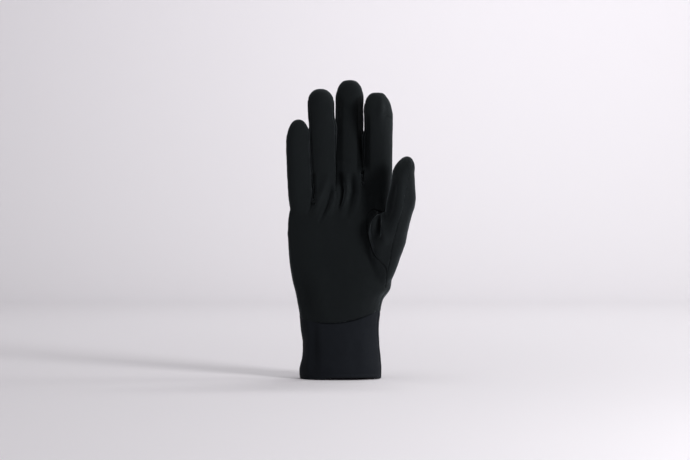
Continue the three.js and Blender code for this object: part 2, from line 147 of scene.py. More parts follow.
# The gathered cloth between palm and thumb: height, left and right edge, y at each, depth in front
# of that and behind it
WEB_OF_THUMB_ROWS = [
    (98, 34, 46, -10, -12, 5, 6),
    (108, 31, 48, -11.4, -14, 5.6, 10),
    (121, 27, 52, -14.6, -18, 7.4, 14),
    (133, 26.2, 52, -17.4, -21.6, 8.4, 14),
    (140, 27.6, 52, -18.6, -23.4, 7.8, 13),
    (144, 29.6, 51, -19.8, -25.2, 6.4, 11),
    (147, 32.2, 50, -21, -26.4, 4.6, 7),
    (149, 35.4, 47, -22, -27.4, 2, 3),
]
THUMB_SEAM_TURN = math.radians(68)
# where that cloth's seam turns in behind the thumb
THUMB_CROTCH = {"z": 146.6, "y": -11.8, "left": 27, "overlap": 3.0}
# the seam round the thumb's root: height and x, then its foot, which falls a little towards +X
THUMB_SEAM_ROWS = [
    (79, 40), (89, 41.2), (99, 40.8), (109, 33.4), (118, 28), (126, 25.4), (137, 24.4), (150, 25.4),
]
THUMB_FOOT = {"z": 79, "x": 40, "slope": 0.14}
SEAM_CORNERS = (2, 5)  # how soft that seam's corners are, at its foot and elsewhere
ON_THUMB = {"x": 20, "y": -14.0}  # beyond both lies the thumb
# how far the seam up the thumb lies beside the thumb's middle line, by height
THUMB_SIDE_ROWS = [
    (80, 0), (105, 0), (118, -1.6), (128, -3.2), (140, -4.2),
    (152, -3), (168, -1.8), (182, 0.6), (194, 2.2),
]
# the side seams: height, y in the middle, and how much y grows with x
SIDE_SEAM_ROWS = [
    (-5, -3, -0.1), (60, -3, -0.12), (105, -2, -0.08), (160, 0, -0.03), (290, 0, 0),
]

# Folds of the draped cloth, each along a line seen from the front.
# Points: x, height, how deep (less than 0 stands up), how wide.
PALM_FOLDS = [
    # between little and ring finger, on into the palm
    [(-24.3, 184, 1, 1.5), (-24.3, 168, 1.8, 1.6), (-25.2, 160, 1, 1.3), (-27.8, 152, 0.8, 1.2),
     (-29.8, 147, 0, 1)],
    # left of the arch between ring and middle finger
    [(-8.2, 173, 0.6, 1.2), (-9, 166, 1.9, 1.4), (-11.8, 156, 2.1, 1.4), (-15.4, 147.5, 1.6, 1.3),
     (-19.6, 139.5, 0, 1.1)],
    # right of it
    [(1, 187, 0, 2), (0.4, 179, 2, 2.8), (2.4, 170, 3.2, 2.2), (1.8, 163, 2.8, 1.8),
     (0, 157, 2.2, 1.5), (-2.4, 150.5, 0, 1.2)],
    # the arch itself
    [(-6.4, 174, -0.8, 2), (-5.2, 168, -2.2, 2.4), (-5.4, 161, -2.4, 2.2), (-8.2, 153, -1.6, 2.2),
     (-11.5, 144, 0, 2.4)],
    # ring finger's right edge running down into the palm
    [(-10, 183, -0.8, 2.4), (-14.4, 171, -2.6, 3.2), (-18.8, 161, -3.4, 3.8), (-22.6, 150, -2.2, 4.4),
     (-26, 139, 0, 5)],
    # ridge at the left of the middle finger's base
    [(5.8, 182, -0.8, 2.2), (5.6, 174, -2.6, 2.6), (4.8, 162, -2.6, 2.6), (1.6, 150, 0, 2.8)],
    # crease at the right of its base
    [(10.8, 187, 0, 1.6), (11.2, 179, 2.4, 2), (11.8, 168, 3, 2.2), (9, 156, 2, 2.4),
     (4.6, 143, 0, 2.4)],
    # ridge right of that crease
    [(16.8, 187, 0, 1.6), (16.8, 176, -1.2, 1.8), (17.4, 166, -0.9, 2.2), (16, 152, 0, 2.4)],
    # slot between middle and index finger
    [(20, 186, 2.4, 1.3), (20.2, 179, 1.8, 1.3), (21.6, 171, 0, 1.5)],
    # hollow under the index finger and beside the thumb's root
    [(23, 176, 0, 3), (24.2, 164, 1.2, 3.4), (23.6, 150, 0.9, 3.8), (22.6, 138, 0.7, 3.8),
     (23.6, 129, 0.4, 3), (26, 121, 0, 2.6)],
    # shallow hollow of the palm
    [(-6, 128, 0.4, 20), (-8, 110, 0.65, 22), (-6, 84, 0.5, 20)],
    # long soft hollow inside the palm's left edge
    [(-35, 100, 0, 6), (-33.2, 88, 1, 6.6), (-29.6, 72.7, 1.5, 7), (-25.5, 54, 1, 6)],
]
THUMB_FOLDS = [
    # gathered cloth in the crotch of the thumb: ridge, slit, ridge
    [(32.4, 148, -0.8, 1.7), (29.6, 141, -2.2, 1.8), (28.8, 134, -2.4, 1.9), (31.2, 122, -1.2, 2),
     (34.6, 114, 0, 2)],
    [(35, 149, 0.6, 1.6), (34.6, 143, 2.8, 1.9), (35, 134, 2.6, 1.6), (36.2, 127, 0, 1.3)],
    [(38.6, 150, -0.6, 2), (38.8, 141, -1.8, 2.1), (39.8, 131, -1.8, 2.3), (41.6, 120, 0, 2.4)],
    # hollow up the thumb's left half
    [(49, 184, 0, 3), (47.8, 172, 1.1, 3.4), (45.4, 156, 1.3, 4.2), (44, 142, 1, 4.2),
     (45, 130, 0, 4.2)],
    # ridge along its left edge
    [(42, 158, 0, 2), (46, 172, -1, 2), (52, 186, 0, 2)],
    # the thumb stands highest along a line left of its outer seam
    [(57, 193, 0, 3.6), (54.6, 180, -2, 4.2), (53.4, 166, -2.8, 4.6), (51.4, 152, -2.8, 5),
     (44.6, 136, -2.4, 5.6), (36.6, 122, -2.4, 6), (34, 111, -2, 6), (35, 98, 0, 6)],
    # nicks at the tip
    [(59.2, 200, 0.7, 0.9), (59.6, 193, 0, 0.9)],
    [(63.9, 195, 0.7, 0.9), (63.4, 187, 0, 0.9)],
]
FINGER_FOLDS = [
    [(-2, 246, 0.5, 3.4), (8, 244, 0.6, 3.4), (18, 246, 0.5, 3.4)],
    [(0, 197, 0.3, 2.4), (5, 196, 0.5, 2.4), (12, 197, 0, 2.4)],
    [(38.6, 234.6, 0, 1), (41.2, 235.8, 0.8, 1), (44.4, 235, 0.3, 1)],
    [(37, 251, -0.4, 2), (36.4, 243, -2.2, 3.2), (36, 234, -0.8, 3), (35.6, 226, 0, 2.4)],
]
CUFF_FOLDS = [
    [(-29.4, 56, 0, 2), (-29.3, 30, -0.6, 2.2), (-29, 6, -0.4, 2.2)],
    [(-24, 60, 0.2, 3), (-23.2, 40, 0.8, 3), (-22.8, 20, 0.8, 3), (-22.5, 4, 0.3, 3)],
    [(-12, 50, 0, 5), (-12.5, 28, -0.4, 5), (-12, 5, 0, 5)],
    [(14, 46, 0, 5), (14.5, 26, 0.4, 5), (15, 4, 0.2, 5)],
    # fold of the hem
    [(-16, 3, 0, 0.8), (-8, 2.6, -0.6, 0.9), (12, 2.8, -0.9, 0.9), (34, 2.6, -0.9, 0.9)],
]
BACK_FOLDS = [
    [(-25.5, 186, 1, 2.6), (-25, 168, 1.8, 3.2), (-23, 150, 0.6, 4), (-20, 134, 0, 5)],
    [(-4.5, 198, 1, 2.6), (-4.6, 180, 1.8, 3.2), (-4, 160, 0.6, 4), (-3, 140, 0, 5)],
    [(20.6, 200, 1, 2.6), (20.6, 183, 1.8, 3.2), (19, 162, 0.6, 4), (16, 142, 0, 5)],
    [(46, 128, 0, 4), (38, 117, 1.2, 4), (26, 104, 0.8, 4.4), (12, 95, 0, 5)],
    [(44, 112, 0, 4), (36, 101, 1, 4), (24, 90, 0.5, 4.4), (12, 84, 0, 5)],
    [(-30, 66, 0, 3), (-14, 70, 0.8, 3), (4, 68, 0.6, 3.4), (20, 71, 0, 3.4)],
]

# Where a finger's side falls back from its front: number of the finger, x, side, over which width and how
# far, how dark the painted shade is there, and the heights where this starts and ends
SHOULDERS = [
    (2, 3, -1, 4.4, 2.4, 0.05, (174, 184), (244, 256)),
    (2, 2.4, -1, 3, 0.6, 0.5, (171, 177), (183, 189)),
    (2, 15.4, 1, 2.6, 2, 0.7, (182, 192), (246, 258)),
    (3, 26.8, -1, 3.2, 2.4, 0.45, (182, 194), (224, 244)),
]
# Painted shade in creases: how dark a fold is painted for each mm it goes in, from FOLD_DARK_FROM on
FOLD_DARKNESS = 0.2  # for each mm that a fold goes in
FOLD_DARK_FROM, FOLD_DARK_OVER = 0.8, 2.4  # mm in at which that starts, and over how many it grows
FOLD_LIP = {"share": 0.25, "away": 2.0, "sharpness": 1.5}  # low swell of the cloth beside each crease
SHOULDER_DARK = (-1.2, 0.6)  # from a shoulder's edge: over which its painted shade grows
# How far the cloth faces the front, -1 to 1, where folds, shoulders and the shoulders' painted shade start
# and are complete
FRONT_FACING, TIP_FACING = (0.1, 0.8), (-0.1, 0.5)
SHOULDER_FACING, PAINTED_SHADE_FACING = (-0.3, 0.2), (-0.9, -0.4)
CUFF_FADE = 2.0  # below the cuff's seam, over which its folds end
ROOT_FADE = (-2.0, 1.0)  # from the thumb's seam, over which the thumb's folds start

# Draping. Pairs are where a movement starts and where it is complete.
CUP = {"middle": 3.0, "half_width": 46.0, "depth": 4.0, "rise": (0.0, 90.0)}
LEAN = {"from": 150.0, "to": 262.0, "curve": 1.8}
SPREAD = (-4.0, 66.0)  # heights from the web over which a finger takes its own place
CLOSE_UP = (-7.0, 1.0)  # and over which neighbours come to touch
PART_AGAIN = (-8.0, 2.0)  # heights from TOUCHING_TO over which they part
ROOT_EASE_FADE = (4.0, 22.0)  # heights from the web over which ROOT_EASE fades
REACH = 1.2  # how far past a finger's half width its movement still grows
PRESSED = (-9.0, -5.0)  # heights from the web over which the press between neighbours starts
PRESS_END = (-5.0, 1.0)  # and from the neighbour's tip over which it ends
NEAR_WEBS = 170.0  # height at which two fingers' parting line is looked up, to find their web
FINGER_GAP = 0.15  # half the space that stays between neighbours
PRESS_SOFTNESS = 1.0  # how far before that space the cloth begins to give
# How the seam between hand and cuff dips on the palm, and how the hem rises in its middle
SEAM_DIP = {"depth": -7.8, "middle": -10.0, "curve": 0.0058, "reach": 34.0, "fade": (-14.0, 8.0)}
HEM = {
    "palm": 1.25, "back": 0.9, "turn": (-18.0, -4.0),
    "middle": 10.0, "half_width": 26.0, "flat": 0.7, "reach": 16.0,
}

PIECES = [
    "palm_panel", "back_panel", "thumb_front", "cuff_front", "cuff_back",
    "strip_little_ring", "strip_ring_middle", "strip_middle_index",
]
CUFF_PIECES = ("cuff_front", "cuff_back")
# The two pieces that a seam joins, how deep it rolls in, how dark the painted shade in its groove is, and
# between which x it fades in and out again; other seams last
WHOLE_LENGTH = (-99, -98, 98, 99)
SEAMS = [
    ("palm_panel", "thumb_front", 1.0, 0.5, *WHOLE_LENGTH),
    ("back_panel", "thumb_front", 0.4, 0.12, *WHOLE_LENGTH),
    ("palm_panel", "back_panel", 0.5, 0.15, *WHOLE_LENGTH),
    ("palm_panel", "cuff_front", 1.0, 0.55, -27, -13, 12, 36),
    ("back_panel", "cuff_back", 1.0, 0.5, *WHOLE_LENGTH),
    (None, None, 0.6, 0.2, *WHOLE_LENGTH),
]
ROLL_WIDTH = 0.75  # of the cloth's roll into a seam, on either side of it
CROTCH_FADE = (138.0, 146.0)  # heights over which the thumb's root seam fades into its gathers
WEB_FADE = (5.0, 10.0)  # distances from a web over which a seam fades in
PUCKER = {"height": 0.18, "size": 2.6, "seed": 3, "reach": 3.5}  # small waves of the cloth beside a seam
SWELL = ((0.35, 16.0, 1), (0.14, 6.0, 2))  # soft unevenness of the cloth: height, size, seed
PIECE_GAP = 0.04  # how far a piece is drawn back from its seams

# The cloths' finishes; pitch is a share of the knit pitch
SOFTSHELL = {"pitch": 1.0, "sheen": 0.12, "roughness": 0.8, "specular": 0.12}
JERSEY = {"pitch": 0.8, "sheen": 0.02, "roughness": 0.75, "specular": 0.13}
ROWS_PER_WALE = 1.3
MOTTLE = {"Scale": 90.0, "Detail": 3.0, "Roughness": 0.55}  # soft patches
FUZZ = {"Scale": 2600.0, "Detail": 2.0, "Roughness": 0.6}  # single fibres
DARKEST, LIGHTEST = 0.5, 1.5  # of a cloth, as shares of its colour; the darker and lighter copies between which painted shade, painted light and random tone are mixed
RELIEF_PAINTED_LIGHT = 0.32  # how fast painted light rises on raised cloth, and painted shade deepens in hollows, with each mm
# shares of the cloth's tone: painted light and shade by relief, and random mottle and fuzz
SHADE = {"painted_relief_light": 0.6, "mottle": 0.2, "fuzz": 0.2}
BUMP = {"Strength": 0.5, "Distance": 0.0001}
KNIT_HEIGHT, FUZZ_HEIGHT = 0.6, 1.2
ROUGHNESS_SPAN, SHEEN_ROUGHNESS = 0.12, 0.45

# The stage, in metres
FLOOR = {"half": 3.0, "middle": -1.2, "below": 0.0006, "roughness": 0.9, "specular": 0.2}
BEND = {"radius": 0.8, "steps": 24, "last": 0.01}  # the wall grows from the last of its depth
WALL_HEIGHT = 3.0
WORLD = {"Color": (1.0, 0.98, 1.0, 1.0), "Strength": 0.25}
CAMERA = {"place": (0.00425, -1.737, 0.1338), "lens": 100.0, "sensor": 36.0, "clip": (0.05, 50.0)}
# Lamps: name, place, the point it faces, width, height, power in watts
LAMPS = [
    ("key", (0.98, -1.03, 0.48), (0.0, 0.0, 0.14), 0.4, 0.45, 17.8),
    ("rim", (1.3, 0.15, 0.3), (0.0, 0.0, 0.14), 0.5, 1.0, 8.0),
    ("wall", (0.8, 1.0, 2.0), (0.6, 2.6, 0.4), 1.6, 1.0, 37.0),
    ("floor", (-0.3, -0.3, 2.2), (-0.1, -0.3, 0.0), 1.6, 1.0, 8.4),
]


def smooth(value, low, high):
    """0 below low, 1 above high, and a soft step between."""
    share = np.clip((value - low) / (high - low), 0.0, 1.0)
    return share * share * (3.0 - 2.0 * share)


class Rows:
    """A smooth curve through a table: every column at any value of the first."""

    def __init__(self, rows):
        table = np.array(rows, dtype=float)
        self.places, self.values = table[:, 0], table[:, 1:]
        step = np.diff(self.places)[:, None]
        rise = np.diff(self.values, axis=0) / step
        inner = (rise[:-1] * step[1:] + rise[1:] * step[:-1]) / (step[:-1] + step[1:])
        self.rises = np.vstack([rise[:1], inner, rise[-1:]])

    def __call__(self, place):
        place = np.clip(np.asarray(place, dtype=float), self.places[0], self.places[-1])
        i = np.clip(np.searchsorted(self.places, place, side="right") - 1, 0, len(self.places) - 2)
        step = (self.places[i + 1] - self.places[i])[..., None]
        t = (place[..., None] - self.places[i][..., None]) / step
        values = (
            (2 * t**3 - 3 * t**2 + 1) * self.values[i]
            + (t**3 - 2 * t**2 + t) * step * self.rises[i]
            + (3 * t**2 - 2 * t**3) * self.values[i + 1]
            + (t**3 - t**2) * step * self.rises[i + 1]
        )
        return tuple(np.moveaxis(values, -1, 0))


cuff_at, hand_at, web_at = Rows(CUFF_ROWS), Rows(HAND_ROWS), Rows(WEB_ROWS)
thumb_at, thumb_web_at = Rows(THUMB_ROWS), Rows(WEB_OF_THUMB_ROWS)
thumb_seam_at, side_seam_at = Rows(THUMB_SEAM_ROWS), Rows(SIDE_SEAM_ROWS)
thumb_side_at = Rows(THUMB_SIDE_ROWS)
FINGER_AT = [Rows(rows) for rows in FINGER_ROWS]


def parting_at(i, z):
    """x where finger i and the next part."""
    return (FINGER_AT[i](z)[1] + FINGER_AT[i + 1](z)[0]) / 2


def finger_of(x, z):
    """Number of the finger that each place belongs to."""
    return sum((x > parting_at(i, z)).astype(int) for i in range(3))


def of_finger(number, key):
    """One value of each place's own finger."""
    return np.array([finger[key] for finger in FINGERS])[number]


def finger_rows(number, z):
    """Left edge, right edge and half depth of each place's own finger."""
    return np.choose(number, [np.array(rows(z)) for rows in FINGER_AT])


def mesh_of(bm, name):
    """The finished mesh of a bmesh, smooth shaded; the bmesh is freed."""
    mesh = bpy.data.meshes.new(name)
    bm.to_mesh(mesh)
    bm.free()
    mesh.shade_smooth()
    return mesh


def placed(name, data):
    """A new object of the scene."""
    made = bpy.data.objects.new(name, data)
    bpy.context.scene.collection.objects.link(made)
    return made


# The flat form


def on_section(turn, left, right, palm, back, squareness):
    """x and y of a point of a rounded section, by its turn from +X towards the back."""
    c, s = math.cos(turn), math.sin(turn)
    across = math.copysign(abs(c) ** (2 / squareness), c)
    out = math.copysign(abs(s) ** (2 / squareness), s)
    depth = back if s > 0 else palm
    return (left + right) / 2 + (right - left) / 2 * across, depth * out


def loft(bm, levels, segments):
    """A closed form, extruded ring by ring. A level gives the point at any turn."""
    layers = bm.verts.layers.float
    turn_of = layers.get("turn") or layers.new("turn")
    ring = bmesh.ops.create_circle(bm, segments=segments, radius=1.0)["verts"]
    for v in ring:
        v[turn_of] = math.atan2(v.co.y, v.co.x)
    edges = list({e for v in ring for e in v.link_edges})
    ends = list(edges)
    for number, level in enumerate(levels):
        if number:
            grown = bmesh.ops.extrude_edge_only(bm, edges=edges)["geom"]
            ring = [g for g in grown if isinstance(g, bmesh.types.BMVert)]
            edges = [e for e in grown if isinstance(e, bmesh.types.BMEdge) and set(e.verts) <= set(ring)]
        for v in ring:
            v.co = level(v[turn_of])
    bmesh.ops.holes_fill(bm, edges=ends + edges, sides=0)


def hand_level(z, roundness=1.0, rows=hand_at):
    """A ring of cuff or hand: near the knuckles it rises to the webs and sinks between the fingers."""
    left, right, palm, back = rows(z)
    share = float(smooth(z, RISE_FROM, KNUCKLE_LINE))

    def level(turn):
        x, y = on_section(turn, left, right, palm, back, SQUARENESS["hand"])
        beside = [(x - web_x) / VALLEY["half_width"] for web_x, _ in WEB_ROWS[1:-1]]
        valley = sum(math.exp(-(away**2)) for away in beside)
        y *= roundness * (1 - VALLEY["share"] * valley * share**3)
        return Vector((x, y, z + (float(web_at(x)[0]) - KNUCKLE_LINE) * share))

    return level


def digit_levels(digit, section_at, first, curve):
    """Rings up a finger or the thumb, and in over its crown. section_at gives x edges, y, depth."""
    base = digit["tip"] - digit["crown"]

    def ring(z, share, rise=0.0):
        left, right, mid, deep = section_at(min(z, base))
        middle, half = (left + right) / 2 + digit["side"] * rise, (right - left) / 2 * share

        def level(turn):
            depth = deep * share
            x, y = on_section(turn, middle - half, middle + half, depth, depth, SQUARENESS["finger"])
            return Vector((x, y + mid, z))

        return level

    rings = 1 + math.ceil((base - first) / RING_STEP["finger"])
    levels = [ring(z, 1.0) for z in np.linspace(first, base, rings)]
    for rise in CROWN_STEPS:
        share = digit["flat"] + (1 - digit["flat"]) * (1 - rise**curve) ** (1 / curve)
        levels.append(ring(base + digit["crown"] * rise, share, rise))
    return levels


def thumb_web_level(z):
    """A ring of the cloth between palm and thumb, slanting forward from the palm to the thumb."""
    left, right, near, far, front, back = thumb_web_at(z)

    def level(turn):
        x, y = on_section(turn, left, right, front, back, SQUARENESS["web"])
        return Vector((x, y + near + (far - near) * (x - left) / (right - left), z))

    return level


def flat_form():
    """The hand with its cuff, the fingers and the thumb, as overlapping closed forms in one mesh."""
    bm = bmesh.new()
    below_seam = np.arange(CUFF_START, CUFF_SEAM, RING_STEP["cuff"])
    above_seam = np.arange(CUFF_SEAM, KNUCKLE_LINE - HAND_TOP[0][0], RING_STEP["hand"])
    levels = [hand_level(z, rows=cuff_at) for z in below_seam]
    levels += [hand_level(z) for z in above_seam]
    levels += [hand_level(KNUCKLE_LINE - below, roundness) for below, roundness in HAND_TOP]
    loft(bm, levels, SIDES["hand"])
    for i, finger in enumerate(FINGERS):
        def section_at(z, i=i):
            left, right, deep = FINGER_AT[i](z)
            return left + NARROWING * (i > 0), right - NARROWING * (i < 3), 0.0, deep

        foot = FINGER_ROWS[i][0][0]
        loft(bm, digit_levels(finger, section_at, foot, FINGER_CROWN_CURVE), SIDES["finger"])
    loft(bm, digit_levels(THUMB, thumb_at, THUMB_ROWS[0][0], THUMB_CROWN_CURVE), SIDES["thumb"])
    foot, crown, top = (WEB_OF_THUMB_ROWS[row][0] for row in (0, -3, -1))
    heights = [*np.arange(foot, crown, RING_STEP["web"])]
    heights += [*np.arange(crown, top + 0.1, RING_STEP["web_top"])]
    loft(bm, [thumb_web_level(z) for z in heights], SIDES["web"])
    bmesh.ops.recalc_face_normals(bm, faces=bm.faces)
    return bm


def islands(bm, joined):
    """Groups of faces that hang together, over the edges whose two faces are joined."""
    seen, groups = set(), []
    for first in bm.faces:
        if first in seen:
            continue
        seen.add(first)
        group = [first]
        for face in group:
            for other in (other for edge in face.edges for other in edge.link_faces):
                if other not in seen and joined(face, other):
                    seen.add(other)
                    group.append(other)
        groups.append(group)
    return groups


def fused(bm, grid):
    """The overlapping forms as one skin of even small faces."""
    mesh = mesh_of(bm, "flat form")
    holder = placed("flat form", mesh)
    remesh = holder.modifiers.new("skin", "REMESH")
    remesh.mode = "VOXEL"
    remesh.voxel_size = grid
    skin = bpy.data.meshes.new_from_object(holder.evaluated_get(bpy.context.evaluated_depsgraph_get()))
    bpy.data.objects.remove(holder)
    bpy.data.meshes.remove(mesh)
    bm = bmesh.new()
    bm.from_mesh(skin)
    bpy.data.meshes.remove(skin)
    bubbles = sorted(islands(bm, lambda face, other: True), key=len)[:-1]
    bmesh.ops.delete(bm, geom=[face for bubble in bubbles for face in bubble], context="FACES")

    def smoothed(verts, rounds):
        for _ in range(rounds):
            bmesh.ops.smooth_vert(
                bm, verts=verts, factor=0.5, use_axis_x=True, use_axis_y=True, use_axis_z=True
            )

    def inside(point, box):
        return all(low < value < high for value, (low, high) in zip(point, box))

    smoothed(bm.verts, SKIN_SMOOTHING)
    smoothed([v for v in bm.verts if any(inside(v.co, box) for box in ROOT_BOXES)], ROOT_SMOOTHING)
    return bm


# The seams


def side_measure(p):
    """How far behind the side seams each point lies."""
    offset, turn = side_seam_at(p[:, 2])
    return p[:, 1] - offset - turn * p[:, 0]


def lesser(a, b, ease):
    """The lesser of two measures, with a soft corner where they meet."""
    share = np.clip(0.5 + (b - a) / (2 * ease), 0, 1)
    return b + (a - b) * share - ease * share * (1 - share)


def thumb_measure(p):
    """How far inside the thumb's cloth each point lies: round its root, then behind the thumb itself."""
    x, y, z = p.T
    slope = thumb_seam_at(z + 0.5)[0] - thumb_seam_at(z - 0.5)[0]
    root = (x - thumb_seam_at(z)[0]) / np.sqrt(1 + slope**2)
    foot = z - THUMB_FOOT["z"] + THUMB_FOOT["slope"] * (x - THUMB_FOOT["x"])
    over_crotch = z - THUMB_CROTCH["z"]
    at_foot, corner = SEAM_CORNERS
    lower = lesser(lesser(root, foot, at_foot), THUMB_CROTCH["overlap"] - over_crotch, corner)
    upper = lesser(over_crotch + THUMB_CROTCH["overlap"], x - THUMB_CROTCH["left"], corner)
    upper = lesser(upper, THUMB_CROTCH["y"] - y, corner)
    return -lesser(-lower, -upper, corner)


def thumb_side_measure(p):
    """How far behind the seam up the thumb each point lies."""
    left, right, mid, _ = thumb_at(p[:, 2])
    beside = p[:, 0] - (left + right) / 2 - thumb_side_at(p[:, 2])[0]
    return math.sin(THUMB_SEAM_TURN) * beside + math.cos(THUMB_SEAM_TURN) * (p[:, 1] - mid)


def strip_place(p):
    """Which strip each point of the fingers is nearest, or -1, and how far outside it."""
    x, y, z = p.T
    number = finger_of(x, z)
    left, right, _ = finger_rows(number, z)
    gap = np.where(x > (left + right) / 2, number, number - 1)
    end = of_finger(number, "tip") - STRIP["end"]
    taper = np.clip((z - end + STRIP["taper"]) / STRIP["taper"], 0.0, 1.0)
    beyond = np.abs(y) - STRIP["width"] / 2 * np.sqrt(1 - taper**2)
    here = (gap >= 0) & (gap <= 2) & (z > web_at(x)[0] + STRIP["start"]) & (z < end) & ~on_thumb(p)
    return np.where(here, gap, -1), beyond


def on_thumb(p):
    """Whether each point of the flat form lies on the thumb."""
    return (p[:, 1] < ON_THUMB["y"]) & (p[:, 0] > ON_THUMB["x"])


def points_of(verts):
    """The places of the vertices, one row each."""
    return np.array([v.co[:] for v in verts])


def cut_seam(bm, measure, near):
    """Cuts the faces that near picks along their seam, and along the lines on either side of it."""
    layers = bm.verts.layers.float_vector
    place = layers.get("place") or layers.new("place")
    p = points_of(bm.verts)
    close = (near(p) & (np.abs(measure(p)) < SEAM_BAND)).tolist()
    bm.verts.index_update()
    band = [face for face in bm.faces if all(close[v.index] for v in face.verts)]
    for level in SEAM_LINES:
        verts = list({v for face in band for v in face.verts})
        edges = {e for face in band for e in face.edges}
        for v, over in zip(verts, measure(points_of(verts)) - level):
            v[place] = v.co
            v.co = (v.co.x, v.co.z, over)
        made = bmesh.ops.bisect_plane(
            bm, geom=[*verts, *edges, *band], dist=CUT_SNAP, plane_co=(0, 0, 0), plane_no=(0, 0, 1)
        )["geom"]
        for v in made:
            if isinstance(v, bmesh.types.BMVert):
                v.co = v[place]
        band = [face for face in made if isinstance(face, bmesh.types.BMFace)]


def cut_seams(bm):
    """Cuts the skin along every seam: its measure, and which points it may be cut near."""
    seams = [
        (lambda p: p[:, 2] - CUFF_SEAM, lambda p: np.ones(len(p), dtype=bool)),
        (side_measure, lambda p: (strip_place(p)[0] < 0) & (thumb_measure(p) < CUT_OVERLAP)),
        (thumb_measure, lambda p: side_measure(p) < CUT_OVERLAP),
        (thumb_side_measure, lambda p: (thumb_measure(p) > -CUT_OVERLAP) & (p[:, 1] < 0)),
        (lambda p: strip_place(p)[1], lambda p: strip_place(p)[0] >= 0),
    ]
    for measure, near in seams:
        cut_seam(bm, measure, near)


def label_faces(bm):
    """Writes on every face the number of the piece it belongs to."""
    piece = bm.faces.layers.int.new("piece")
    p = np.array([f.calc_center_median()[:] for f in bm.faces])
    behind = side_measure(p) > 0
    thumb = (thumb_measure(p) > 0) & (p[:, 1] < 0)
    palm_panel, back_panel, thumb_front, cuff_front, cuff_back, first_strip = range(6)
    number = np.where(behind, back_panel, palm_panel)
    number[thumb] = np.where(thumb_side_measure(p)[thumb] < 0, thumb_front, back_panel)
    gap, beyond = strip_place(p)
    number = np.where((gap >= 0) & (beyond < 0), first_strip + gap, number)
    cuff = p[:, 2] < CUFF_SEAM
    number[cuff] = np.where(behind, cuff_back, cuff_front)[cuff]
    for face, value in zip(bm.faces, number):
        face[piece] = int(value)
    patches = islands(bm, lambda face, other: face[piece] == other[piece])
    small = [patch for patch in patches if sum(face.calc_area() for face in patch) < SMALLEST_PATCH]
    scraps = [face for patch in small for face in patch]
    while scraps:
        waiting, inner = set(scraps), []
        for face in scraps:
            around = (other for edge in face.edges for other in edge.link_faces)
            beside = sorted(other[piece] for other in around if other not in waiting)
            if beside:
                face[piece] = max(beside, key=beside.count)
            else:
                inner.append(face)
        scraps = inner


# Draping


def drape(p, number=None):
    """From the flat form to the worn one. number names each point's finger where it is known."""
    x, y, z = p.T
    worn = p.copy()
    worn[:, 1] -= CUP["depth"] * ((x - CUP["middle"]) / CUP["half_width"]) ** 2 * smooth(z, *CUP["rise"])
    if number is None:
        number = finger_of(x, z)
    left, right, _ = finger_rows(number, z)
    take_left, take_right = NARROWING * (number > 0), NARROWING * (number < 3)
    half = (right - take_right - left - take_left) / 2
    across = (x - (left + take_left + right - take_right) / 2) / half
    over_web = z - web_at(x)[0]
    rise = np.maximum(z - LEAN["from"], 0) / (LEAN["to"] - LEAN["from"])
    apart = smooth(over_web, *SPREAD)
    tight = smooth(over_web, *CLOSE_UP)
    touching = [1 - smooth(z - top, *PART_AGAIN) for top in TOUCHING_TO]
    ease = TOUCH_EASE + ROOT_EASE * (1 - smooth(over_web, *ROOT_EASE_FADE))
    ease_right = ease * np.choose(number, [*touching, np.zeros(len(z))])
    ease_left = ease * np.choose(number, [np.zeros(len(z)), *touching])
    widen = of_finger(number, "widen") * apart
    move = np.clip(across, 0, REACH) * (widen + (take_right + ease_right) * tight)
    move += np.clip(across, -REACH, 0) * (widen + (take_left + ease_left) * tight)
    forward = (of_finger(number, "forward") + of_finger(number, "lean") * rise ** LEAN["curve"]) * apart
    turned = of_finger(number, "turn") * half * np.clip(across, -REACH, REACH) * apart
    hand = ~on_thumb(p)
    worn[:, 0] += np.where(hand, move, 0.0)
    worn[:, 1] += np.where(hand, turned - forward, 0.0)
    near_seam = np.maximum(1 - np.abs(z - CUFF_SEAM) / SEAM_DIP["reach"], 0)
    dip = SEAM_DIP["depth"] + SEAM_DIP["curve"] * (x - SEAM_DIP["middle"]) ** 2
    worn[:, 2] += dip * smooth(near_seam, 0.0, 1.0) * (1 - smooth(y, *SEAM_DIP["fade"]))
    near_hem = np.maximum(1 - z / HEM["reach"], 0)
    wave = 1 - smooth(np.abs(x - HEM["middle"]) / HEM["half_width"], HEM["flat"], 1.0)
    share = smooth(y, *HEM["turn"])
    worn[:, 2] += (HEM["palm"] * (1 - share) + HEM["back"] * share) * wave * near_hem
    return worn


def press_fingers(worn, flat):
    """Flattens neighbouring fingers where they touch, square to the line between their middles."""
    z = flat[:, 2]
    number = finger_of(flat[:, 0], z)
    hand = ~on_thumb(flat)

    def middle(which):
        left, right, _ = finger_rows(which, z)
        centre = drape(np.stack([(left + right) / 2, np.zeros(len(z)), z], axis=1), which)
        return centre[:, :2], (right - left) / 2

    for i in range(3):
        for mine, other in ((i, i + 1), (i + 1, i)):
            own, own_half = middle(np.full(len(z), mine))
            next_to, next_half = middle(np.full(len(z), other))
            way = next_to - own
            way /= np.linalg.norm(way, axis=1)[:, None]
            share = (own_half / (own_half + next_half))[:, None]
            limit = own + (next_to - own) * share
            past = ((worn[:, :2] - limit) * way).sum(axis=1) + FINGER_GAP
            soft = PRESS_SOFTNESS
            kept = np.where(past > -soft, -soft * np.exp(-(past + soft) / soft), past)
            web = float(web_at(parting_at(i, NEAR_WEBS))[0])
            weight = smooth(z - web, *PRESSED) * (1 - smooth(z - FINGERS[other]["tip"], *PRESS_END))
            weight *= (number == mine) & hand
            worn[:, :2] += way * ((kept - past) * weight)[:, None]


